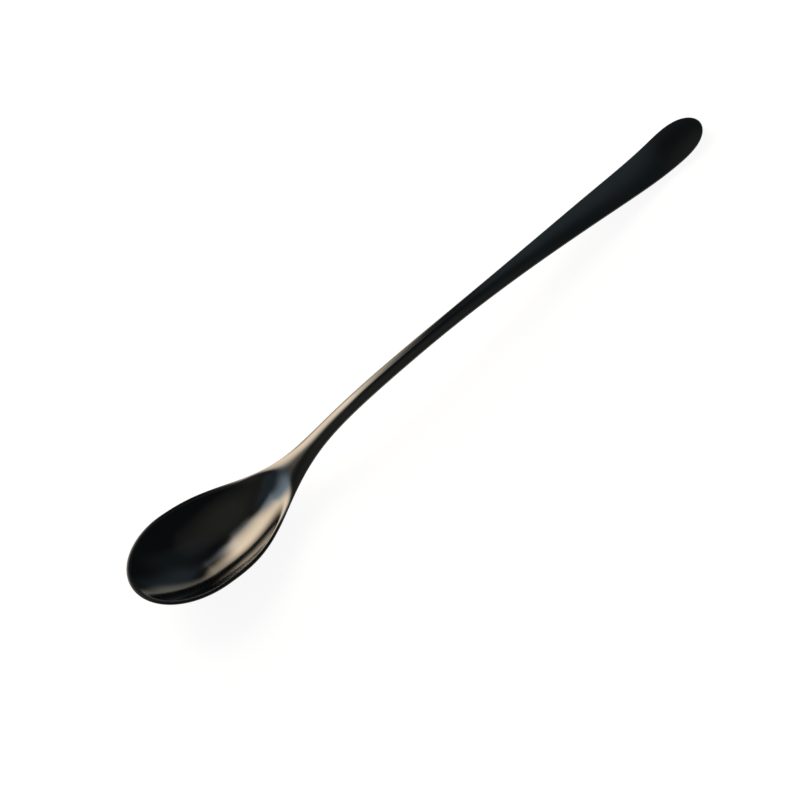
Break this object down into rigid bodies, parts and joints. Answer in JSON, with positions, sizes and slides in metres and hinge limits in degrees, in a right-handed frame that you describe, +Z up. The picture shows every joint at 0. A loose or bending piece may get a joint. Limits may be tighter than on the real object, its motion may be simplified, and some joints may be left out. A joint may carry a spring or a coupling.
{
  "type": "measuring spoon",
  "caption": "Long-handled spoon pressed from one steel blank: egg-shaped bowl, slender rounded neck, arched handle that widens to a flat rounded end, black coating.",
  "frame": {"origin": "on the table, below the middle of the spoon's length and width", "axes": "+X from the bowl to the end of the handle, +Y across the bowl, +Z up from the table, out of the bowl's mouth"},
  "size_m": [0.2, 0.0292, 0.0112],
  "materials": {
    "black_coated_steel": "satin"
  },
  "bodies": {
    "root": {"spoon": "black_coated_steel"}
  },
  "joints": []
}
